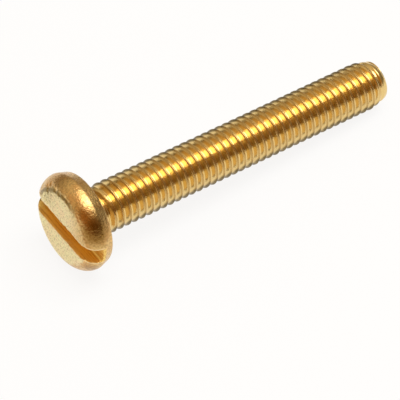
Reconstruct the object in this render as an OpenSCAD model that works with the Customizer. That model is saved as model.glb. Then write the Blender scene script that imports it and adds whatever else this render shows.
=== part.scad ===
// Slotted pan head machine screw in brass, cold headed and thread rolled from one blank.
// All sizes are in millimetres. The screw is drawn upright about its axis, with the seat
// under the head at height 0 and the tip upwards, and is then laid down as it comes to rest.

/* [Thread] */
// Diameter over the thread crests
thread_d = 3.5; // [3:0.1:5]
// Distance from one turn of the thread to the next
pitch = 0.6; // [0.5:0.05:0.8]
// Length from the seat under the head to the end of the tip
length = 25; // [16:1:30]
// Flat sides that make up one turn of the thread
turn_sides = 24; // [16:2:24]
// Angle of the thread about the axis, which sets where its turns lie beside the slot
thread_turn = 210; // [0:5:355]

/* [Tip] */
// Height of the crests above the edge of the tip's flat end
tip_drop = 0.3; // [0.2:0.05:0.5]
// Length over which the crests run down to the flat end
tip_len = 1.2; // [0.8:0.1:2]
// Turns over which the groove runs out at the tip
fade_turns = 0.5; // [0.25:0.25:1]

/* [Neck] */
// Length of plain neck between the head and the first turn
neck_len = 0.45; // [0.4:0.05:1]
// Radius of the fillet between the neck and the head
fillet_r = 0.3; // [0.25:0.05:0.4]
// Depth of the step from the neck down to the start of the thread
neck_step = 0.04; // [0.03:0.01:0.06]
// Turns over which the thread rises to its full form
rise_turns = 1; // [0.5:0.25:2]

/* [Head] */
// Widest diameter of the head
head_d = 7; // [6.4:0.1:9]
// How far the seat's edge stands in from the head's widest place
seat_inset = 0.23; // [0.05:0.01:0.4]
// Height of the head
head_h = 2; // [1.8:0.1:3]
// Radius of the round shoulder between the head's side and its flat top
shoulder_r = 1.25; // [0.6:0.05:1.4]
// Radius of the small rounding at the edge of the seat
seat_edge_r = 0.12; // [0.05:0.01:0.2]

/* [Driver slot] */
// Width of the slot
slot_w = 1.2; // [0.8:0.05:1.5]
// Depth of the slot below the head's flat top
slot_depth = 1.1; // [0.8:0.05:1.3]
// Roll of the slot away from level as the screw lies
slot_roll = 4.8; // [-90:0.1:90]

/* [Hidden] */
$fn = 96;

// The metric thread form: flanks at 60 degrees, a flat crest an eighth of a pitch wide and
// a depth set by the fundamental triangle
flank_angle = 30;
thread_depth = 17 / 24 * pitch * cos(flank_angle);
crest_w = pitch / 8;
flank_w = thread_depth * tan(flank_angle);
root_w = pitch - crest_w - 2 * flank_w;

crest_r = thread_d / 2;
root_r = crest_r - thread_depth;
tip_r = crest_r - tip_drop;

// A blank is rolled at the pitch diameter, where ridge and groove hold the same metal
neck_r = crest_r - 3 / 8 * pitch * cos(flank_angle);
start_r = neck_r - neck_step;
// How far the threaded core reaches into the head to join it
core_into_head = 0.3;

head_r = head_d / 2;
seat_r = head_r - seat_inset;
// Height of the head's widest place above the seat
rim_h = head_h - shoulder_r;

// The rounding at the seat's edge, tangent to the seat and to the leaning side
side_angle = atan2(rim_h, head_r - seat_r);
edge_tangent = seat_edge_r * tan(side_angle / 2);
// How far the slot's cutter passes the head's top and sides
cut_over = 1;

// One pitch of the thread: the root, the rising flank and the crest as steps along the axis,
// and how high each stands. The falling flank joins the crest to the next turn's root.
form_z = [0, root_w, root_w + flank_w, root_w + flank_w + crest_w];
form_h = [0, 0, 1, 1];
form_n = len(form_z);

// Gap kept between the last turn and the flat end
end_gap = 0.05;
thread_from = neck_len + end_gap;
thread_run = length - end_gap - form_z[form_n - 1] - thread_from;
last_step = floor(turn_sides * thread_run / pitch);

// The screw rests on the rim of its head and on its last full turn
rest_tilt = atan2(head_r - crest_r, length - tip_len + rim_h);
rest_height = head_r * cos(rest_tilt) - rim_h * sin(rest_tilt);
// Ends of the tilted screw along the floor, to put its middle over the origin
reach_tip = length * cos(rest_tilt) + tip_r * sin(rest_tilt);
reach_head = rim_h * cos(rest_tilt) + (head_r - shoulder_r) * sin(rest_tilt) + shoulder_r;

// Radius that the tip allows at a height
function tip_limit(z) = crest_r - tip_drop * max(0, z - (length - tip_len)) / tip_len;

// Shares of its full form that the thread has at a step, by its start and by its end
function rise(n) = min(1, n / (turn_sides * rise_turns));
function fade(n) = min(1, (last_step - n) / (turn_sides * fade_turns));

function blend(from, to, share) = from + (to - from) * share;

// Radius of a thread point, which grows from the plain start and ends in the plain tip
function thread_r(n, k, z) =
    let (full_r = blend(root_r, crest_r, form_h[k]))
    let (limit = tip_limit(z))
    blend(limit, min(blend(start_r, full_r, rise(n)), limit), fade(n));

function round_point(r, step, z) =
    let (a = thread_turn + 360 * step / turn_sides)
    [r * cos(a), r * sin(a), z];

function ring(r, z) = [for (step = [0:turn_sides - 1]) round_point(r, step, z)];

function thread_points() = [
    for (n = [0:last_step], k = [0:form_n - 1])
        let (z = thread_from + pitch * n / turn_sides + form_z[k])
        round_point(thread_r(n, k, z), n, z)
];

// Numbers of the points in the thread's list: the ring inside the head, the thread, and
// the ring around the flat end
function low(step) = step % turn_sides;
function on_thread(n, k) = turn_sides + form_n * n + k;
function high(step) = turn_sides + form_n * (last_step + 1) + step % turn_sides;

// A four-cornered patch as two triangles, and a many-cornered one as a fan
function patch(a, b, c, d) = [[a, b, c], [a, c, d]];
function fan(p) = [for (i = [1:len(p) - 2]) [p[0], p[i], p[i + 1]]];

function flatten(lists) = [for (list = lists) for (item = list) item];

// Root, rising flank and crest, then the falling flank that joins each turn to the next
function turn_faces() = flatten([
    for (n = [0:last_step - 1], k = [0:form_n - 2])
        patch(on_thread(n, k), on_thread(n, k + 1), on_thread(n + 1, k + 1), on_thread(n + 1, k))
]);
function falling_faces() = flatten([
    for (n = [0:last_step - turn_sides - 1])
        let (next = n + turn_sides)
        patch(on_thread(n, form_n - 1), on_thread(next, 0), on_thread(next + 1, 0),
            on_thread(n + 1, form_n - 1))
]);

// Skirt from the ring in the head up to the first turn, closed beside the thread's start
function start_faces() = concat(
    flatten([
        for (n = [0:turn_sides - 2])
            patch(low(n), on_thread(n, 0), on_thread(n + 1, 0), low(n + 1))
    ]),
    fan(concat(
        [on_thread(turn_sides - 1, 0), on_thread(turn_sides, 0)],
        [for (k = [form_n - 1:-1:0]) on_thread(0, k)],
        [low(0), low(turn_sides - 1)]
    ))
);

// Skirt from the last turn up to the flat end, closed beside the thread's end
function end_faces() =
    let (first = last_step - turn_sides)
    concat(
        flatten([
            for (n = [first + 1:last_step - 1])
                patch(on_thread(n, form_n - 1), high(n), high(n + 1), on_thread(n + 1, form_n - 1))
        ]),
        fan(concat(
            [on_thread(first + 1, form_n - 1), on_thread(first, form_n - 1)],
            [for (k = [0:form_n - 1]) on_thread(last_step, k)],
            [high(first), high(first + 1)]
        ))
    );

module threaded_core() {
    polyhedron(
        points = concat(ring(start_r, -core_into_head), thread_points(), ring(tip_r, length)),
        faces = concat(
            [[for (step = [0:turn_sides - 1]) low(step)]],
            start_faces(),
            turn_faces(),
            falling_faces(),
            end_faces(),
            [[for (step = [turn_sides - 1:-1:0]) high(step)]]
        )
    );
}

// Half section of the head, with its seat at height 0 and its top below
module head_section() {
    polygon([
        [0, 0],
        [seat_r - edge_tangent, 0],
        [seat_r - edge_tangent, -seat_edge_r],
        [seat_r + edge_tangent * cos(side_angle), -edge_tangent * sin(side_angle)],
        [head_r, -rim_h],
        [head_r - shoulder_r, -head_h],
        [0, -head_h]
    ]);
    translate([seat_r - edge_tangent, -seat_edge_r])
        circle(seat_edge_r);
    intersection() {
        translate([head_r - shoulder_r, -rim_h])
            circle(shoulder_r);
        translate([head_r - shoulder_r, -head_h])
            square(shoulder_r);
    }
}

// Half section of the neck and the fillet at its foot
module neck_section() {
    square([neck_r, neck_len]);
    difference() {
        square([neck_r + fillet_r, fillet_r]);
        translate([neck_r + fillet_r, fillet_r])
            circle(fillet_r);
    }
}

module slot_cutter() {
    slot_l = head_d + 2 * cut_over;
    translate([-slot_l / 2, -slot_w / 2, -head_h - cut_over])
        cube([slot_l, slot_w, slot_depth + cut_over]);
}

module screw() {
    color("goldenrod")
        translate([(reach_head - reach_tip) / 2, 0, rest_height])
            rotate([0, 90 + rest_tilt, 0])
                rotate([0, 0, 90 + slot_roll]) {
                    difference() {
                        rotate_extrude() {
                            head_section();
                            neck_section();
                        }
                        slot_cutter();
                    }
                    threaded_core();
                }
}

screw();
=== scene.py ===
"""Finished surface, floor, light and camera for a slotted pan head machine screw in brass."""
import math

import bpy
from mathutils import Matrix, Vector


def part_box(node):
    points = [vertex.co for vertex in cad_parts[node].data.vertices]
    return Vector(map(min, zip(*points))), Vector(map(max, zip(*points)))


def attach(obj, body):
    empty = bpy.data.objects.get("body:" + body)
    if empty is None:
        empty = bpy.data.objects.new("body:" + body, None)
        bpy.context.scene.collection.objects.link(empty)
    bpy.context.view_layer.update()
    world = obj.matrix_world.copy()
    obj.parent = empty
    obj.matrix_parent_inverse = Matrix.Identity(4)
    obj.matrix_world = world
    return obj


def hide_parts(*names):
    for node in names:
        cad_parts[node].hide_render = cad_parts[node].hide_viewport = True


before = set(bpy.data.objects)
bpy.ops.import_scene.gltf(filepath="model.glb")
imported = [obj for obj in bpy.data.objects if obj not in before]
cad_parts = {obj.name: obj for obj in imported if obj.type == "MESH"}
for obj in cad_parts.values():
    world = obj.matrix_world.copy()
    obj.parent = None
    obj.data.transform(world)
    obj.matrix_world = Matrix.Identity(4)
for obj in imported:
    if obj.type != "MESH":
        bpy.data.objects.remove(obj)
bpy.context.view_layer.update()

bl_info = {
    "name": "Brass machine screw",
    "version": (1, 0, 0),
    "blender": (4, 5, 0),
    "location": "View3D > Sidebar > Screw",
    "description": "Models the finished screw round its packed solid and sets its floor, light and camera",
    "category": "Object",
}

SCREW_NODE = "screw"
SCREW_BODY = "root"
MM = 0.001

# Thread form: angle of the flanks, depth and neck as shares of the sharp thread's height,
# and the crest's width as a share of the pitch
FLANK_ANGLE = math.radians(30)
DEPTH_SHARE = 17 / 24
NECK_SHARE = 3 / 8
CREST_SHARE = 1 / 8
# Gap between the thread and the ends of the shank, in mm
END_GAP = 0.05

# Dents and nicks in the head: their x, y, z, radius and share of the full depth, in mm
DENT_DEPTH = 0.055
DENTS = (
    (2.65, 1.53, -1.70, 0.20, 0.7), (2.07, 2.16, -1.75, 0.13, 0.9), (1.88, 2.11, -1.86, 0.14, 1.0),
    (1.80, 1.92, -1.94, 0.14, 1.0), (2.03, 1.48, -1.97, 0.13, 0.8), (1.89, 1.14, -2.00, 0.13, 0.9),
    (1.67, 1.05, -2.00, 0.14, 0.9), (1.81, 2.48, -1.69, 0.17, 0.9), (1.11, 2.63, -1.84, 0.15, 0.7),
    (0.64, 2.70, -1.88, 0.14, 0.6), (0.16, 2.81, -1.86, 0.17, 0.7), (-0.26, 2.79, -1.87, 0.13, 0.5),
    (-0.61, 2.70, -1.89, 0.13, 0.5), (1.41, 1.84, -2.00, 0.11, 0.6), (1.05, 1.88, -2.00, 0.10, 0.5),
    (0.68, 1.93, -2.00, 0.11, 0.5), (-1.05, 0.62, -2.00, 0.18, 0.8), (-0.45, 0.62, -2.00, 0.14, 0.6),
    (-0.91, -0.62, -2.00, 0.20, 0.7), (-1.75, -1.94, -1.94, 0.13, 0.8), (-2.45, 1.35, -1.88, 0.12, 0.5),
    (0.55, -1.30, -2.00, 0.12, 0.5), (1.60, -1.10, -2.00, 0.14, 0.5), (-0.40, -2.20, -2.00, 0.12, 0.5),
)

# Dark brown patches on the head's side: their x, y, z, radius in mm and strength. The first two are
# painted shade, on the front of the side and on the lower rim; the other two darken the upper side
SHADE_AND_BROWN_PATCHES = (
    (-2.75, 1.85, -1.25, 1.5, 0.95), (-2.98, -1.33, -1.48, 0.75, 0.6),
    (1.31, 3.08, -1.35, 0.8, 0.25), (-1.67, 2.74, -1.55, 0.5, 0.4),
)

# Grid on which the head is remeshed, and how finely the round forms are stepped
HEAD_GRID = 0.055
TURN_STEPS = 80
HEAD_STEPS = 160
ARC_STEPS = 10
FLOOR_STEPS = 96

# Slot cutter: how far it passes the head, and the bevel along its floor, in mm and steps
CUT_OVER = 1.0
SLOT_BEVEL = 0.22
SLOT_BEVEL_STEPS = 5

# Smallest length of an edge that runs along the slot, and how near the floor it lies, in mm
LONG_EDGE = 1.0
EDGE_ON_FLOOR = 0.0001

# Uneven parts: spacing of the unevenness and its depth, in mm
FROSTING = (0.16, 0.035)
RAGGED_LIPS = (0.25, 0.08)
RAGGED_BORDER = (0.3, 0.035)
UNEVEN_CRESTS = (0.5, 0.03)
CLOUD_DETAIL = 2
# Middle value of a noise
MIDDLE = 0.5

# Where those parts begin and are full, in mm from the place that each is measured from
FROST_FADE = (0.3, 0.08)
LIP_BESIDE = (0.15, 0.04)
LIP_BELOW = (0.15, 0.05)
BORDER_FROM = (0.8, 1.4)
BORDER_AT = 0.12
BORDER_FADE = (0.1, 0.03)
CREST_BAND = 0.2
# Reach of a dent as a multiple of its radius, and the power that rounds its edge
DENT_REACH = 1.5
DENT_ROUNDING = 1.5

# Smoothing of the broken edges and of the tip
SMOOTH_SHARE = 0.5
EDGE_PASSES = 3
TIP_PASSES = 2
# Where the tip's smoothing begins and is full, in mm before the flat end
TIP_SOFT_FROM = 1.8
TIP_SOFT_FULL = 1.0

# Thread: steps of the rounding at root and crest, whole turns before its start and beyond
# its length, how far it reaches into the head, and how near two points count as one, in mm
ROUND_STEPS = 2
TURNS_BEFORE = 3
TURNS_BEYOND = 7
CORE_INTO_HEAD = 0.3
DOUBLES = 0.001

# Forms that hold the thread at its ends: places and clearances in mm, rises in turns, and
# insets as shares of the tip's rounding
FORM_START = -1.0
CREST_CLEAR = 0.05
NECK_CLEAR = 0.001
RISE_FROM = 0.4
RISE_TURNS = 1.2
TIP_EDGE_INSET = 0.83
FADE_IN_TURNS = 1.3
FADE_OUT_TURNS = 2.3
FILLED_TURNS = 0.75
FILL_BELOW_EDGE = 0.02
FILL_INSET = 0.9
FILL_BELOW_END = 0.002

# Corners sharper than this stay sharp
SMOOTH_ANGLE = math.radians(35)
# How far the finished piece may stray from its solid, in mm
STRAY = 0.5

# Noises in the brass: scale per mm, detail and roughness
PATCHES = (0.9, 3.0, 0.6)
BLOTCHES = (1.7, 3.0, 0.6)
FINE = (7.0, 3.0, 0.6)
GRAIN = (7.5, 3.0, 0.7)
WANDER = (2.4, 3.0, 0.6)
RINGS = (1.0, 2.0, 0.6)
STREAKS = (1.0, 3.0, 0.6)
# Shift or stretch along x, y and z of the noises that need one
BLOTCH_SHIFT = 7.0
WANDER_SHIFT = 3.0
RING_STRETCH = (0.5, 0.5, 22.0)
STREAK_STRETCH = (0.35, 7.0, 7.0)

# Where each zone of the brass begins and is full, in mm from the place it is measured from
HEAD_ZONE = (0.1, -0.05)
SLOT_ACROSS = (0.06, -0.02)
SLOT_DOWN = (0.3, 0.1)
FACE_ZONE = (0.14, 0.06)
BORDER_INNER = (0.05, 0.09)
BORDER_OUTER = (0.23, 0.15)
BORDER_UP = (0.6, 1.3)
BORDER_ALONG = (-1.6, -0.2)
LIP_ACROSS = (0.14, 0.06)
LIP_DOWN = (0.2, 0.0)
# Painted shade at the slot's far end
SLOT_END_SHADE = (2.95, 3.2)
CREST_ZONE = (-0.14, -0.03)
# Painted shade: a dark band near the crests on the thread's two sides that are edge-on to the camera
EDGE_SHADE_HEIGHT = (-0.26, -0.1)
EDGE_SHADE_REACH = (1.4, 1.6)
DULL_ALONG = (-0.4, -2.4)
DULL_UP = (0.3, 1.0)
WORN_ALONG = (0.4, 1.8)
WORN_UP = (0.7, 1.5)
WORN_DOWN = (0.6, 0.1)
# Direction across the axis, towards whose two ends the painted shade on the thread lies: the two sides
# that are edge-on to the camera
EDGE_SHADE_WAY = (0.845, 0.534)
# How far the borders of these zones wander, in mm
FACE_WANDER = 0.12
SLOT_END_SHADE_WANDER = 0.4
PATCH_WANDER = 0.5
# Share of a patch's radius within which it is full
PATCH_CORE = 0.3

# Between which values each noise shows, and how much of it
PATCH_SHOWS = (0.42, 0.68)
SPECK_SHOWS, SPECK_SHARE = (0.46, 0.62), 0.45
BLOTCH_SHOWS, BLOTCH_SHARE = (0.5, 0.8), 0.5
ROSE_SHOWS = (0.35, 0.65)
GRAIN_SHOWS, GRAIN_SHARE = (0.5, 0.6), 0.45
STREAK_SHOWS, STREAK_SHARE = (0.45, 0.62), 0.8
WORN_SHOWS, WORN_SHARE = (0.46, 0.58), 0.6
# How much of each zone's own colour shows, before the noise that is added to three of them
CREST_SHARE_SHOWN, CREST_UNEVEN = 0.75, 0.6
# Painted shade along the thread's two edge-on sides
EDGE_SHADE_LEAST = 0.95
DULL_SHARE = 0.8
BORDER_SHARE = 0.85
LIP_SHARE = 0.6
PATCH_LEAST = 0.5

# Roughness that the fine noise and the zones add
ROUGH_FINE = 0.16
ROUGH_CREST = 0.08
ROUGH_HEAD = 0.05
ROUGH_SLOT = 0.22
ROUGH_LIP = 0.1
# Heights of the fine relief, in mm
FACE_RELIEF = 0.08
RING_RELIEF = 0.004
SIDE_RELIEF = 0.008
HEAD_RELIEF = 0.02

# Room: the way to its orange corner, the parts of its light with where each begins and is
# full, and its colours
CORNER_WAY = (-0.6, -0.75, 0.28)
CORNER_ZONE = (0.35, 0.9)
CORNER_DIMS = 0.1
ROOM_LIGHT = 0.22
BEHIND_ZONE, BEHIND_RISE, BEHIND_LIGHT = (-0.3, 0.6), (0.0, 0.5), 0.25
ABOVE_ZONE, ABOVE_LIGHT = (0.35, 0.95), 0.3
HEAD_END_ZONE, HEAD_END_LIGHT = (-0.3, -0.95), 0.3
ROOM_COLOUR = (1.0, 0.84, 0.6)
CORNER_COLOUR = (0.95, 0.46, 0.1)

# Soft oval lamp, with sizes in metres and power in watts
LAMP_PLACE = (0.09, -0.045, 0.3)
LAMP_TARGET = (0.09, -0.045, 0.0)
LAMP_SIZE = (0.42, 0.21)
LAMP_POWER = 0.74

# Camera: sensor width in mm, and the nearest and farthest it sees in metres
SENSOR = 36.0
CLIP = (0.005, 10.0)

# Outputs of the texture coordinate and light path nodes
VIEW_WAY, OBJECT_PLACE = 0, 3
CAMERA_RAY, GLOSSY_RAY, CLEAR_RAY = 0, 3, 6


def length(name, description, millimetres):
    """A size in metres that defaults to so many millimetres."""
    return bpy.props.FloatProperty(
        name=name, description=description, default=millimetres * MM, min=0.0, precision=5,
        subtype="DISTANCE", unit="LENGTH",
    )


def angle(name, description, degrees):
    """An angle that defaults to so many degrees."""
    return bpy.props.FloatProperty(
        name=name, description=description, default=math.radians(degrees), subtype="ANGLE",
    )


def colour(name, description, red, green, blue):
    """A surface colour in linear light."""
    return bpy.props.FloatVectorProperty(
        name=name, description=description, default=(red, green, blue), min=0.0, max=1.0,
        size=3, subtype="COLOR",
    )


def share(name, description, value, highest=1.0):
    """A plain number with no unit."""
    return bpy.props.FloatProperty(
        name=name, description=description, default=value, min=0.0, max=highest,
    )


class ScrewSizes(bpy.types.PropertyGroup):
    """Sizes of the screw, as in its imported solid."""

    thread_d: length("Thread diameter", "Diameter over the thread crests", 3.5)
    pitch: length("Pitch", "Distance from one turn of the thread to the next", 0.6)
    length: length("Length", "From the seat under the head to the end of the tip", 25)
    thread_turn: angle("Thread turn", "Where the turns lie beside the slot", 210)
    crest_r: length("Crest rounding", "Radius of the worn corners of the crests", 0.05)
    tip_drop: length("Tip drop", "Height of the crests above the edge of the flat end", 0.3)
    tip_len: length("Tip length", "Length over which the crests run down", 1.2)
    tip_round: length("Tip rounding", "Radius at the edge of the flat end", 0.08)
    neck_len: length("Neck", "Plain neck between the head and the first turn", 0.45)
    fillet_r: length("Fillet", "Radius between the neck and the head", 0.3)
    neck_step: length("Neck step", "Step from the neck down to the start of the thread", 0.04)
    head_d: length("Head diameter", "Widest diameter of the head", 7)
    head_h: length("Head height", "From the seat to the flat top", 2)
    seat_inset: length("Seat inset", "How far the seat's edge stands in from the widest place", 0.23)
    shoulder_r: length("Shoulder", "Radius between the side and the flat top", 1.25)
    seat_edge_r: length("Seat edge", "Radius at the edge of the seat", 0.12)
    slot_w: length("Slot width", "Width of the driver slot", 1.2)
    slot_depth: length("Slot depth", "Depth of the driver slot", 1.1)
    slot_roll: angle("Slot roll", "Roll of the slot away from level as the screw lies", 4.8)


class BrassLooks(bpy.types.PropertyGroup):
    """Colours and surface of the brass."""

    gold: colour("Gold", "Polished brass of the thread", 0.82, 0.59, 0.24)
    bronze: colour("Bronze", "Mellowed brass on the head's side", 0.78, 0.51, 0.20)
    brown: colour("Brown", "Reddish bloom on the head's side", 0.72, 0.40, 0.14)
    cream: colour("Cream", "Frosted brass on the head's face", 0.95, 0.84, 0.47)
    rose: colour("Rose", "Pinkish patches on the head's face", 0.95, 0.76, 0.44)
    # Painted shade: dark brown laid on the front and the lower rim of the head's side, and on two patches
    # higher up
    shade_brown: colour("Stain", "Brown stains on the head's side", 0.30, 0.15, 0.03)
    # Painted shade: this dark colour is laid along the thread's two sides that are edge-on to the camera
    film: colour("Film", "Dark film along both sides of the thread", 0.17, 0.12, 0.045)
    # At the slot's far end this olive is painted shade
    olive: colour("Olive", "Dark film in cracks and at the slot's end", 0.26, 0.18, 0.06)
    amber: colour("Amber", "Brass inside the driver slot", 0.97, 0.68, 0.20)
    umber: colour("Umber", "Darker streaks inside the driver slot", 0.66, 0.36, 0.08)
    crest: colour("Crest", "Film left on the thread's crests", 0.46, 0.27, 0.08)
    shine: share("Roughness", "Roughness of the polished brass", 0.2)
    frost: share("Face roughness", "Roughness of the frosted face", 0.42)


class StudioLooks(bpy.types.PropertyGroup):
    """Camera, floor and light."""

    azimuth: angle("Azimuth", "Camera's bearing, from +Y towards +X", 36.59)
    elevation: angle("Elevation", "Camera's height above the horizon", 46.68)
    distance: length("Distance", "From the camera to the spot it looks at", 189.88)
    look_x: bpy.props.FloatProperty(
        name="Look at X", description="Spot on the floor that the camera looks at",
        default=-2.43 * MM, precision=5, subtype="DISTANCE", unit="LENGTH",
    )
    look_y: bpy.props.FloatProperty(
        name="Look at Y", description="Spot on the floor that the camera looks at",
        default=-0.73 * MM, precision=5, subtype="DISTANCE", unit="LENGTH",
    )
    lens: bpy.props.FloatProperty(
        name="Lens", description="Focal length on a 36 mm sensor", default=248.56, unit="CAMERA",
    )
    floor_colour: colour("Floor", "Pale floor", 0.93, 0.93, 0.92)
    floor_glow: share("Floor glow", "Share of the floor that shows plain white", 0.88)
    floor_r: length("Floor radius", "Radius of the floor", 1500)


class Wire:
    """One output of a shader node, on which arithmetic adds Math nodes."""

    def __init__(self, tree, socket):
        self.tree = tree
        self.socket = socket

    def maths(self, operation, *others):
        inputs = dict(enumerate((self, *others)))
        return self.tree.node("ShaderNodeMath", {"operation": operation}, inputs)

    def __add__(self, other):
        return self.maths("ADD", other)

    def __radd__(self, other):
        return self.maths("ADD", other)

    def __sub__(self, other):
        return self.maths("SUBTRACT", other)

    def __rsub__(self, other):
        return self.tree.node("ShaderNodeMath", {"operation": "SUBTRACT"}, {0: other, 1: self})

    def __mul__(self, other):
        return self.maths("MULTIPLY", other)

    def __rmul__(self, other):
        return self.maths("MULTIPLY", other)

    def __abs__(self):
        return self.maths("ABSOLUTE")

    def root(self):
        return self.maths("SQRT")

    def step(self, start, end):
        """0 before start, 1 after end and smooth between them. End may lie before start."""
        low, high = min(start, end), max(start, end)
        ends = (0.0, 1.0) if start < end else (1.0, 0.0)
        return self.tree.node(
            "ShaderNodeMapRange",
            {"interpolation_type": "SMOOTHSTEP"},
            {"Value": self, "From Min": low, "From Max": high, "To Min": ends[0], "To Max": ends[1]},
        )

    def within(self, base, fade):
        """The same step, with both its ends measured from a base."""
        return self.step(base + fade[0], base + fade[1])


class Tree:
    """The node tree of one material or world."""

    def __init__(self, owner):
        owner.use_nodes = True
        self.nodes = owner.node_tree.nodes
        self.links = owner.node_tree.links
        self.nodes.clear()

    def node(self, kind, settings=None, inputs=None, output=0):
        """Adds a node, sets it, then fills its sockets with values or links."""
        made = self.nodes.new(kind)
        for name, value in (settings or {}).items():
            setattr(made, name, value)
        for name, value in (inputs or {}).items():
            if isinstance(value, Wire):
                self.links.new(value.socket, made.inputs[name])
            else:
                made.inputs[name].default_value = value
        return Wire(self, made.outputs[output]) if made.outputs else made

    def mix(self, factor, first, second):
        """Colour between first and second."""
        inputs = {0: factor, 6: opaque(first), 7: opaque(second)}
        return self.node("ShaderNodeMix", {"data_type": "RGBA"}, inputs, output=2)

    def noise(self, place, scale, detail, roughness):
        """Noise from 0 to 1 with its middle at a half."""
        inputs = {"Vector": place, "Scale": scale, "Detail": detail, "Roughness": roughness}
        return self.node("ShaderNodeTexNoise", {}, inputs)

    def stretched(self, place, along_x, along_y, along_z, shift=0.0):
        """The place, scaled by axis, so that a pattern on it stretches where the scale is small."""
        inputs = {"Vector": place, "Location": (shift,) * 3, "Scale": (along_x, along_y, along_z)}
        return self.node("ShaderNodeMapping", {"vector_type": "POINT"}, inputs)

    def parts(self, place):
        """X, Y and Z of a vector."""
        first = self.node("ShaderNodeSeparateXYZ", {}, {"Vector": place})
        made = first.socket.node
        return [Wire(self, socket) for socket in made.outputs]

    def bump(self, height, distance):
        """Normal of a relief whose height is in units of the distance."""
        return self.node("ShaderNodeBump", {}, {"Height": height, "Distance": distance})


def opaque(value):
    """A colour with its alpha, for a socket that takes four numbers."""
    if isinstance(value, Wire):
        return value
    return (*tuple(value)[:3], 1.0)


class Measures:
    """The sizes in millimetres, with what follows from them."""

    def __init__(self, sizes):
        for name in ScrewSizes.__annotations__:
            value = getattr(sizes, name)
            setattr(self, name, value if name in ("thread_turn", "slot_roll") else value / MM)
        self.thread_r = self.thread_d / 2
        self.thread_depth = DEPTH_SHARE * self.pitch * math.cos(FLANK_ANGLE)
        self.root_r = self.thread_r - self.thread_depth
        self.crest_w = self.pitch * CREST_SHARE
        self.flank_w = self.thread_depth * math.tan(FLANK_ANGLE)
        self.root_w = self.pitch - self.crest_w - 2 * self.flank_w
        self.tip_r = self.thread_r - self.tip_drop
        self.neck_r = self.thread_r - NECK_SHARE * self.pitch * math.cos(FLANK_ANGLE)
        self.start_r = self.neck_r - self.neck_step
        self.thread_from = self.neck_len + END_GAP
        self.head_r = self.head_d / 2
        self.seat_r = self.head_r - self.seat_inset
        self.rim_h = self.head_h - self.shoulder_r
        self.rest_tilt = math.atan2(
            self.head_r - self.thread_r, self.length - self.tip_len + self.rim_h
        )
        cos, sin = math.cos(self.rest_tilt), math.sin(self.rest_tilt)
        self.rest_height = self.head_r * cos - self.rim_h * sin
        reach_tip = self.length * cos + self.tip_r * sin
        reach_head = self.rim_h * cos + (self.head_r - self.shoulder_r) * sin + self.shoulder_r
        self.rest_x = (reach_head - reach_tip) / 2

    def laid_down(self):
        """Turns the upright screw onto the floor, still in millimetres."""
        lay = Matrix.Rotation(math.radians(90) + self.rest_tilt, 4, "Y")
        roll = Matrix.Rotation(math.radians(90) + self.slot_roll, 4, "Z")
        return Matrix.Translation((self.rest_x, 0, self.rest_height)) @ lay @ roll


def measures():
    return Measures(bpy.context.scene.screw_sizes)


def arc(centre, radius, start, end, steps=ARC_STEPS):
    """Points of an arc in the half section, with angles in degrees."""
    across, up = centre
    turns = [math.radians(start + (end - start) * i / steps) for i in range(steps + 1)]
    return [(across + radius * math.cos(t), up + radius * math.sin(t)) for t in turns]


def start_editing(piece):
    bpy.context.view_layer.objects.active = piece
    bpy.ops.object.mode_set(mode="EDIT")


def stop_editing():
    bpy.ops.object.mode_set(mode="OBJECT")


def alone(piece):
    """Makes the piece the only one selected."""
    bpy.ops.object.select_all(action="DESELECT")
    piece.select_set(True)
    bpy.context.view_layer.objects.active = piece


def turned(name, outline, steps):
    """Solid turned about Z: a disc that is extruded from point to point of its half section."""
    bpy.ops.object.select_all(action="DESELECT")
    radius, height = outline[0]
    bpy.ops.mesh.primitive_circle_add(
        vertices=steps, radius=radius, fill_type="NGON", location=(0, 0, height)
    )
    piece = bpy.context.object
    piece.name = name
    bpy.ops.object.transform_apply(location=True, rotation=True, scale=True)
    start_editing(piece)
    bpy.ops.mesh.select_all(action="SELECT")
    for across, up in outline[1:]:
        bpy.ops.mesh.extrude_region_move(TRANSFORM_OT_translate={"value": (0, 0, up - height)})
        grow = across / radius
        bpy.ops.transform.resize(value=(grow, grow, 1), center_override=(0, 0, up))
        radius, height = across, up
    bpy.ops.mesh.select_all(action="SELECT")
    bpy.ops.mesh.normals_make_consistent(inside=False)
    stop_editing()
    return piece


def finish_with(piece, name, kind, **settings):
    """Adds a modifier and applies it at once."""
    alone(piece)
    modifier = piece.modifiers.new(name, kind)
    for key, value in settings.items():
        setattr(modifier, key, value)
    bpy.ops.object.modifier_apply(modifier=modifier.name)
    return piece


def cut_or_join(piece, other, operation):
    """Boolean with another solid, which is used up."""
    finish_with(piece, operation.lower(), "BOOLEAN", operation=operation, object=other, solver="MANIFOLD")
    bpy.data.objects.remove(other)
    return piece


def zone(piece, name, weight):
    """Vertex group in which each vertex gets the weight that its place has."""
    group = piece.vertex_groups.new(name=name)
    for vertex in piece.data.vertices:
        value = weight(vertex.co)
        if value > 0:
            group.add([vertex.index], min(value, 1.0), "REPLACE")
    return group.name


def fade_between(value, start, end):
    """Share of the way from start to end, smooth, held at 0 and 1 outside them."""
    t = min(max((value - start) / (end - start), 0.0), 1.0)
    return t * t * (3 - 2 * t)


def roughened(piece, name, unevenness, where):
    """Uneven surface, by cloud noise of one spacing and depth, in a zone."""
    spacing, depth = unevenness
    texture = bpy.data.textures.new(name, "CLOUDS")
    texture.noise_scale = spacing
    texture.noise_depth = CLOUD_DETAIL
    return finish_with(
        piece, name, "DISPLACE", texture=texture, texture_coords="LOCAL", strength=depth,
        mid_level=MIDDLE, vertex_group=where,
    )


def dented(co):
    """Share of the full dent depth at a place on the head."""
    deepest = 0.0
    for x, y, z, radius, deep in DENTS:
        off = (co.x - x) ** 2 + (co.y - y) ** 2 + (co.z - z) ** 2
        near = off / (DENT_REACH * radius) ** 2
        if near < 1:
            deepest = max(deepest, deep * (1 - near) ** DENT_ROUNDING)
    return deepest


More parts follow.
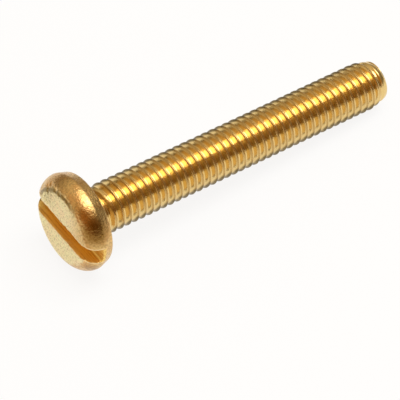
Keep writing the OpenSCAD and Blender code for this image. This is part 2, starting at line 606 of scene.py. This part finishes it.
def head_outline(m):
    """Half section of the neck and head, from the neck's end to the flat top."""
    side_angle = math.degrees(math.atan2(m.rim_h, m.seat_inset))
    tangent = m.seat_edge_r * math.tan(math.radians(side_angle / 2))
    fillet = arc((m.neck_r + m.fillet_r, m.fillet_r), m.fillet_r, 180, 270)
    seat_edge = arc((m.seat_r - tangent, -m.seat_edge_r), m.seat_edge_r, 90, 90 - side_angle)
    shoulder = arc((m.head_r - m.shoulder_r, -m.rim_h), m.shoulder_r, 0, -90, 2 * ARC_STEPS)
    return [(m.neck_r, m.neck_len), *fillet, *seat_edge, *shoulder]


def slot_cutter(m):
    """Block that cuts the driver slot, with softened floor corners."""
    bpy.ops.object.select_all(action="DESELECT")
    floor = m.slot_depth - m.head_h
    height = m.slot_depth + CUT_OVER
    bpy.ops.mesh.primitive_cube_add(size=1, location=(0, 0, floor - height / 2))
    cutter = bpy.context.object
    cutter.name = "slot_cutter"
    cutter.scale = (m.head_d + 2 * CUT_OVER, m.slot_w, height)
    bpy.ops.object.transform_apply(location=True, rotation=True, scale=True)
    start_editing(cutter)
    bpy.ops.mesh.select_all(action="DESELECT")
    stop_editing()
    for edge in cutter.data.edges:
        ends = [cutter.data.vertices[i].co for i in edge.vertices]
        on_floor = all(abs(end.z - floor) < EDGE_ON_FLOOR for end in ends)
        edge.select = on_floor and abs(ends[0].x - ends[1].x) > LONG_EDGE
    start_editing(cutter)
    bpy.ops.mesh.bevel(offset=SLOT_BEVEL, segments=SLOT_BEVEL_STEPS, affect="EDGES")
    stop_editing()
    return cutter


def model_head(m):
    """Head with its slot, as one even skin with broken edges."""
    head = turned("head", head_outline(m), HEAD_STEPS)
    cut_or_join(head, slot_cutter(m), "DIFFERENCE")
    finish_with(head, "even_skin", "REMESH", mode="VOXEL", voxel_size=HEAD_GRID, use_smooth_shade=True)
    finish_with(head, "broken_edges", "SMOOTH", factor=SMOOTH_SHARE, iterations=EDGE_PASSES)

    def outer(co):
        """Height of the head's outside over a place, before the slot."""
        over = max(co.xy.length - (m.head_r - m.shoulder_r), 0)
        return -m.rim_h - math.sqrt(max(m.shoulder_r ** 2 - over ** 2, 0))

    def on_face(co):
        return fade_between(co.z, -m.head_h + FROST_FADE[0], -m.head_h + FROST_FADE[1])

    def on_lip(co):
        beside = abs(abs(co.y) - m.slot_w / 2)
        below = abs(co.z - outer(co))
        return fade_between(beside, *LIP_BESIDE) * fade_between(below, *LIP_BELOW)

    def on_border(co):
        off = abs(co.z + m.head_h - BORDER_AT)
        return fade_between(co.y, *BORDER_FROM) * fade_between(off, *BORDER_FADE)

    roughened(head, "frosting", FROSTING, zone(head, "face", on_face))
    roughened(head, "ragged_lips", RAGGED_LIPS, zone(head, "lips", on_lip))
    roughened(head, "ragged_border", RAGGED_BORDER, zone(head, "border", on_border))
    finish_with(
        head, "dents", "DISPLACE", strength=-DENT_DEPTH, mid_level=0.0,
        vertex_group=zone(head, "dents", dented),
    )
    return head


def thread_section(m):
    """One pitch of the thread's section, from the middle of a root to the next one."""
    deep = m.root_w * math.cos(FLANK_ANGLE)
    rise = arc((0, m.root_r + deep), deep, -90, -30, ROUND_STEPS)
    half = m.pitch / 2
    soft = m.crest_r * math.tan(FLANK_ANGLE)
    shoulder = half - m.crest_w / 2
    crest = arc((shoulder + soft, m.thread_r - m.crest_r), m.crest_r, 150, 90, ROUND_STEPS)
    up = [*rise, ((rise[-1][0] + crest[0][0]) / 2, (rise[-1][1] + crest[0][1]) / 2), *crest]
    down = [(m.pitch - z, r) for z, r in reversed(up)]
    return [*up, *down]


def thread_strip(m):
    """The section as a line of vertices that starts well inside the head."""
    bpy.ops.object.select_all(action="DESELECT")
    section = thread_section(m)
    turns = m.thread_turn / math.radians(360) + TURNS_BEFORE
    base = m.thread_from + m.root_w / 2 - m.pitch * turns
    bpy.ops.mesh.primitive_plane_add(size=1, location=(section[0][1], 0, base))
    strip = bpy.context.object
    strip.name = "thread"
    bpy.ops.object.transform_apply(location=True, rotation=True, scale=True)
    start_editing(strip)
    bpy.ops.mesh.select_all(action="SELECT")
    bpy.ops.mesh.merge(type="CENTER")
    for (z0, r0), (z1, r1) in zip(section, section[1:]):
        bpy.ops.mesh.extrude_vertices_move(TRANSFORM_OT_translate={"value": (r1 - r0, 0, z1 - z0)})
    stop_editing()
    return strip


def envelope(m):
    """Form that holds the crests down where they rise from the neck and run down at the tip."""
    clear = m.thread_r + CREST_CLEAR
    held = m.start_r + NECK_CLEAR
    rise_from = m.thread_from + RISE_FROM
    taper_from = m.length - m.tip_len
    slope = math.degrees(math.atan2(m.tip_drop, m.tip_len))
    edge = arc(
        (m.tip_r - m.tip_round * TIP_EDGE_INSET, m.length - m.tip_round), m.tip_round, slope, 90
    )
    points = [
        (held, FORM_START),
        (held, rise_from),
        (clear, rise_from + m.pitch * RISE_TURNS),
        (clear, taper_from - m.tip_len * CREST_CLEAR / m.tip_drop),
        *edge,
    ]
    return turned("envelope", points, TURN_STEPS)


def core(m):
    """Form that fills the grooves where they start at the neck and run out at the tip."""
    deep = m.root_r - CREST_CLEAR
    points = [
        (m.start_r, FORM_START),
        (m.start_r, m.thread_from),
        (deep, m.thread_from + FADE_IN_TURNS * m.pitch),
        (deep, m.length - FADE_OUT_TURNS * m.pitch),
        (m.tip_r - FILL_BELOW_EDGE, m.length - FILLED_TURNS * m.pitch),
        (m.tip_r - m.tip_round * FILL_INSET, m.length - FILL_BELOW_END),
    ]
    return turned("core", points, TURN_STEPS)


def slice_off(piece, height, keep_above):
    """Cuts the piece level at a height and closes the cut."""
    start_editing(piece)
    bpy.ops.mesh.select_all(action="SELECT")
    bpy.ops.mesh.bisect(
        plane_co=(0, 0, height), plane_no=(0, 0, 1), use_fill=True,
        clear_inner=keep_above, clear_outer=not keep_above,
    )
    stop_editing()


def model_thread(m):
    """Threaded shank from inside the head to the tip."""
    shank = thread_strip(m)
    turns = math.ceil(m.length / m.pitch) + TURNS_BEYOND
    finish_with(
        shank, "helix", "SCREW", axis="Z", angle=math.radians(360), screw_offset=m.pitch,
        iterations=turns, steps=TURN_STEPS, render_steps=TURN_STEPS,
    )
    start_editing(shank)
    bpy.ops.mesh.select_all(action="SELECT")
    bpy.ops.mesh.remove_doubles(threshold=DOUBLES)
    bpy.ops.mesh.normals_make_consistent(inside=False)
    stop_editing()
    slice_off(shank, -CORE_INTO_HEAD, keep_above=True)
    slice_off(shank, m.length, keep_above=False)
    outer, inner = envelope(m), core(m)
    finish_with(shank, "crests", "SHRINKWRAP", target=outer, wrap_mode="INSIDE")
    finish_with(shank, "grooves", "SHRINKWRAP", target=inner, wrap_mode="OUTSIDE")
    bpy.data.objects.remove(outer)
    bpy.data.objects.remove(inner)

    def on_crest(co):
        return fade_between(co.xy.length, m.thread_r - CREST_BAND, m.thread_r)

    def on_tip(co):
        return fade_between(co.z, m.length - TIP_SOFT_FROM, m.length - TIP_SOFT_FULL)

    roughened(shank, "uneven_crests", UNEVEN_CRESTS, zone(shank, "crests", on_crest))
    finish_with(
        shank, "soft_tip", "SMOOTH", factor=SMOOTH_SHARE, iterations=TIP_PASSES,
        vertex_group=zone(shank, "tip", on_tip),
    )
    return shank


class Zones:
    """Masks and noises of the brass, in the screw's own upright frame in millimetres."""

    def __init__(self, tree, m):
        lie = m.laid_down()
        inputs = {
            "Vector": tree.node("ShaderNodeTexCoord", output=OBJECT_PLACE),
            "Location": tuple(lie.translation * MM),
            "Rotation": tuple(lie.to_euler("XYZ")),
            "Scale": (MM, MM, MM),
        }
        place = tree.node("ShaderNodeMapping", {"vector_type": "TEXTURE"}, inputs)
        x, y, z = self.place = tree.parts(place)
        radius = (x * x + y * y).root()

        even = (1.0, 1.0, 1.0)
        self.patches = tree.noise(place, *PATCHES)
        self.blotches = tree.noise(tree.stretched(place, *even, BLOTCH_SHIFT), *BLOTCHES)
        self.fine = tree.noise(place, *FINE)
        self.grain = tree.noise(place, *GRAIN)
        self.wander = tree.noise(tree.stretched(place, *even, WANDER_SHIFT), *WANDER) - MIDDLE
        self.rings = tree.noise(tree.stretched(place, *RING_STRETCH), *RINGS)
        self.streaks = tree.noise(tree.stretched(place, *STREAK_STRETCH), *STREAKS)

        floor = m.slot_depth - m.head_h
        half = m.slot_w / 2
        top = -m.head_h
        across = abs(y)
        level = z + FACE_WANDER * self.wander
        self.head = z.step(*HEAD_ZONE)
        self.slot = across.within(half, SLOT_ACROSS) * z.within(floor, SLOT_DOWN)
        outside = 1 - self.slot
        self.face = level.within(top, FACE_ZONE) * outside
        border = level.within(top, BORDER_INNER) * level.within(top, BORDER_OUTER)
        self.border = border * y.step(*BORDER_UP) * x.step(*BORDER_ALONG) * outside
        self.lip = across.within(half, LIP_ACROSS) * z.within(floor, LIP_DOWN) * outside
        # Painted shade at the slot's far end, with a wandering border
        self.slot_end_shade = (x + SLOT_END_SHADE_WANDER * self.wander).step(*SLOT_END_SHADE) * self.slot
        self.crest = radius.within(m.thread_r, CREST_ZONE) * (1 - self.head)
        # Painted shade near the crests, on the two sides of the thread that are edge-on to the camera
        edge_shade_band = radius.within(m.thread_r, EDGE_SHADE_HEIGHT) * (1 - self.head)
        self.edge_shade_zone = abs(EDGE_SHADE_WAY[0] * x + EDGE_SHADE_WAY[1] * y).step(*EDGE_SHADE_REACH) * edge_shade_band
        self.dull = x.step(*DULL_ALONG) * y.step(*DULL_UP)
        worn = x.step(*WORN_ALONG) * y.step(*WORN_UP) * z.within(top, WORN_DOWN)
        self.worn = worn * self.fine.step(*WORN_SHOWS)


def side_colours(tree, zones, looks):
    """Mellowed brass with a reddish bloom and dark specks."""
    colour_here = tree.mix(zones.patches.step(*PATCH_SHOWS), looks.bronze, looks.brown)
    return tree.mix(zones.fine.step(*SPECK_SHOWS) * SPECK_SHARE, colour_here, looks.olive)


def thread_colours(tree, zones, looks):
    """Polished brass with film on its crests, and painted shade along the two sides that are edge-on to
    the camera.
    """
    blotches = zones.blotches.step(*BLOTCH_SHOWS) * BLOTCH_SHARE
    colour_here = tree.mix(blotches, looks.gold, looks.bronze)
    crests = zones.crest * (CREST_SHARE_SHOWN + CREST_UNEVEN * zones.wander)
    colour_here = tree.mix(crests, colour_here, looks.crest)
    # Painted shade along the thread's two edge-on sides
    return tree.mix(zones.edge_shade_zone * (EDGE_SHADE_LEAST + zones.wander), colour_here, looks.film)


def face_colours(tree, zones, looks):
    """Frosted brass with pinkish patches and dark grain."""
    colour_here = tree.mix(zones.blotches.step(*ROSE_SHOWS), looks.cream, looks.rose)
    colour_here = tree.mix(zones.dull * DULL_SHARE, colour_here, looks.bronze)
    return tree.mix(zones.grain.step(*GRAIN_SHOWS) * GRAIN_SHARE, colour_here, looks.olive)


def slot_colours(tree, zones, looks):
    """Amber brass with streaks along the slot, and painted shade at its far end."""
    streaks = zones.streaks.step(*STREAK_SHOWS) * STREAK_SHARE
    colour_here = tree.mix(streaks, looks.amber, looks.umber)
    # Painted shade at the slot's far end
    return tree.mix(zones.slot_end_shade, colour_here, looks.olive)


def with_shade_patches(tree, zones, looks, colour_here):
    """The colour with the dark patches laid over it: painted shade on the front of the side and on the
    lower rim, and two darker patches higher up.
    """
    x, y, z = zones.place
    for patch_x, patch_y, patch_z, radius, strength in SHADE_AND_BROWN_PATCHES:
        off_x, off_y, off_z = x - patch_x, y - patch_y, z - patch_z
        near = (off_x * off_x + off_y * off_y + off_z * off_z).root()
        near = near + PATCH_WANDER * zones.wander
        # Each patch darkens the colour towards the dark brown; the first two are painted shade
        shade_brown = near.step(radius, PATCH_CORE * radius) * (PATCH_LEAST + zones.fine) * strength
        colour_here = tree.mix(shade_brown, colour_here, looks.shade_brown)
    return colour_here


def brass(m, looks):
    """Brass with a frosted face, painted shade and darker patches on its side, an amber slot with painted
    shade at its far end, and dark film on the crests with painted shade along the thread's sides.
    """
    material = bpy.data.materials.new("brass")
    tree = Tree(material)
    zones = Zones(tree, m)
    fine, face = zones.fine, zones.face

    finished = tree.mix(
        zones.head, thread_colours(tree, zones, looks), side_colours(tree, zones, looks)
    )
    # Painted shade and darker patches on the head's side
    finished = with_shade_patches(tree, zones, looks, finished)
    finished = tree.mix(face, finished, face_colours(tree, zones, looks))
    finished = tree.mix(zones.border * BORDER_SHARE, finished, looks.olive)
    finished = tree.mix(zones.worn * WORN_SHARE, finished, looks.olive)
    finished = tree.mix(zones.lip * LIP_SHARE, finished, looks.rose)
    finished = tree.mix(zones.slot, finished, slot_colours(tree, zones, looks))

    rough = looks.shine + ROUGH_FINE * (fine - MIDDLE)
    rough = rough + ROUGH_CREST * zones.crest + ROUGH_HEAD * zones.head
    rough = rough + face * (looks.frost - looks.shine)
    rough = rough + zones.slot * ROUGH_SLOT + zones.lip * ROUGH_LIP
    side_relief = (1 - face) * fine * (SIDE_RELIEF + HEAD_RELIEF * zones.head)
    height = face * zones.grain * FACE_RELIEF + zones.rings * RING_RELIEF + side_relief
    inputs = {
        "Base Color": finished,
        "Metallic": 1.0,
        "Roughness": rough,
        "Normal": tree.bump(height, MM),
    }
    shader = tree.node("ShaderNodeBsdfPrincipled", {}, inputs)
    tree.node("ShaderNodeOutputMaterial", {}, {"Surface": shader})
    return material


def check_box(piece):
    """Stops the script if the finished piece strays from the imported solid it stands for."""
    low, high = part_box(SCREW_NODE)
    corners = [piece.matrix_world @ Vector(corner) for corner in piece.bound_box]
    for i in range(3):
        ends = (min(c[i] for c in corners), max(c[i] for c in corners))
        if abs(ends[0] - low[i]) > STRAY * MM or abs(ends[1] - high[i]) > STRAY * MM:
            raise RuntimeError("the finished screw is out of place against its solid")


class SCREW_OT_make_screw(bpy.types.Operator):
    """Model the finished screw and give it its brass."""

    bl_idname = "object.make_brass_screw"
    bl_label = "Brass screw"

    def execute(self, context):
        m = measures()
        screw = model_head(m)
        cut_or_join(screw, model_thread(m), "UNION")
        screw.name = "brass_screw"
        screw.data.name = "brass_screw"
        screw.vertex_groups.clear()
        screw.data.transform(Matrix.Scale(MM, 4) @ m.laid_down())
        alone(screw)
        bpy.ops.object.shade_smooth_by_angle(angle=SMOOTH_ANGLE)
        screw.data.materials.clear()
        screw.data.materials.append(brass(m, context.scene.brass_looks))
        check_box(screw)
        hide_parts(SCREW_NODE)
        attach(screw, SCREW_BODY)
        return {"FINISHED"}


def floor_finish(looks):
    """Pale paper that keeps a soft shadow, the same to the camera as in the brass."""
    material = bpy.data.materials.new("pale_paper")
    tree = Tree(material)
    paper = tree.node("ShaderNodeBsdfDiffuse", {}, {"Color": opaque(looks.floor_colour)})
    white = tree.node("ShaderNodeEmission", {}, {"Color": (1, 1, 1, 1), "Strength": 1.0})
    seen = tree.node("ShaderNodeLightPath", output=CAMERA_RAY)
    glossy = tree.node("ShaderNodeLightPath", output=GLOSSY_RAY)
    clear = tree.node("ShaderNodeLightPath", output=CLEAR_RAY)
    shown = seen.maths("MAXIMUM", glossy).maths("MAXIMUM", clear) * looks.floor_glow
    mixed = tree.node("ShaderNodeMixShader", {}, {0: shown, 1: paper, 2: white})
    tree.node("ShaderNodeOutputMaterial", {}, {"Surface": mixed})
    return material


def lay_floor(looks):
    """Round sheet of pale paper under the screw."""
    bpy.ops.object.select_all(action="DESELECT")
    bpy.ops.mesh.primitive_circle_add(vertices=FLOOR_STEPS, radius=looks.floor_r, fill_type="NGON")
    sheet = bpy.context.object
    sheet.name = "paper_floor"
    sheet.data.materials.append(floor_finish(looks))


def hang_lamp():
    """Soft oval lamp above the screw, as wide as a softbox."""
    data = bpy.data.lights.new("overhead_softbox", "AREA")
    data.shape = "ELLIPSE"
    data.size, data.size_y = LAMP_SIZE
    data.energy = LAMP_POWER
    lamp = bpy.data.objects.new("overhead_softbox", data)
    bpy.context.scene.collection.objects.link(lamp)
    lamp.location = LAMP_PLACE
    down = Vector(LAMP_TARGET) - Vector(LAMP_PLACE)
    lamp.rotation_euler = down.to_track_quat("-Z", "Y").to_euler()


def light_room():
    """Dim warm room, orange in the camera's corner and brighter above, behind and at the head."""
    world = bpy.data.worlds.new("room")
    bpy.context.scene.world = world
    tree = Tree(world)
    way = tree.node("ShaderNodeTexCoord", output=VIEW_WAY)
    x, y, z = tree.parts(way)
    settings = {"operation": "DOT_PRODUCT"}
    toward = tree.node("ShaderNodeVectorMath", settings, {0: way, 1: CORNER_WAY}, output=1)
    corner = toward.step(*CORNER_ZONE)
    behind = y.step(*BEHIND_ZONE)
    above = z.step(*ABOVE_ZONE)
    strength = ROOM_LIGHT + BEHIND_LIGHT * behind * z.step(*BEHIND_RISE)
    strength = strength + ABOVE_LIGHT * above + HEAD_END_LIGHT * x.step(*HEAD_END_ZONE)
    strength = strength * (1 - CORNER_DIMS * corner)
    room = tree.mix(corner, ROOM_COLOUR, CORNER_COLOUR)
    back = tree.node("ShaderNodeBackground", {}, {"Color": room, "Strength": strength})
    tree.node("ShaderNodeOutputWorld", {}, {"Surface": back})


def place_camera(looks):
    """Camera at the photograph's viewing angle."""
    data = bpy.data.cameras.new("camera")
    data.lens = looks.lens
    data.sensor_width = SENSOR
    data.clip_start, data.clip_end = CLIP
    camera = bpy.data.objects.new("camera", data)
    bpy.context.scene.collection.objects.link(camera)
    flat = math.cos(looks.elevation)
    ahead = Vector((
        flat * math.sin(looks.azimuth), flat * math.cos(looks.azimuth), -math.sin(looks.elevation)
    ))
    camera.location = Vector((looks.look_x, looks.look_y, 0)) - ahead * looks.distance
    camera.rotation_euler = ahead.to_track_quat("-Z", "Y").to_euler()
    bpy.context.scene.camera = camera


class SCREW_OT_make_studio(bpy.types.Operator):
    """Set up the floor, the light and the camera."""

    bl_idname = "object.make_screw_studio"
    bl_label = "Studio"

    def execute(self, context):
        looks = context.scene.studio_looks
        context.scene.view_settings.view_transform = "Standard"
        lay_floor(looks)
        light_room()
        hang_lamp()
        place_camera(looks)
        return {"FINISHED"}


class SCREW_PT_panel(bpy.types.Panel):
    """Sidebar panel with the steps and what can be set."""

    bl_idname = "SCREW_PT_panel"
    bl_label = "Brass machine screw"
    bl_space_type = "VIEW_3D"
    bl_region_type = "UI"
    bl_category = "Screw"

    def draw(self, context):
        column = self.layout.column()
        for step in STEPS:
            column.operator(step.bl_idname)
        for group in GROUPS:
            box = self.layout.box()
            for name in group.__annotations__:
                box.prop(getattr(context.scene, GROUPS[group]), name)


GROUPS = {ScrewSizes: "screw_sizes", BrassLooks: "brass_looks", StudioLooks: "studio_looks"}
STEPS = (SCREW_OT_make_screw, SCREW_OT_make_studio)
CLASSES = (*GROUPS, *STEPS, SCREW_PT_panel)


def register():
    for cls in CLASSES:
        bpy.utils.register_class(cls)
    for group, name in GROUPS.items():
        setattr(bpy.types.Scene, name, bpy.props.PointerProperty(type=group))


def unregister():
    for name in GROUPS.values():
        delattr(bpy.types.Scene, name)
    for cls in reversed(CLASSES):
        bpy.utils.unregister_class(cls)


def main():
    register()
    bpy.ops.object.make_screw_studio()
    bpy.ops.object.make_brass_screw()


if __name__ == "__main__":
    main()
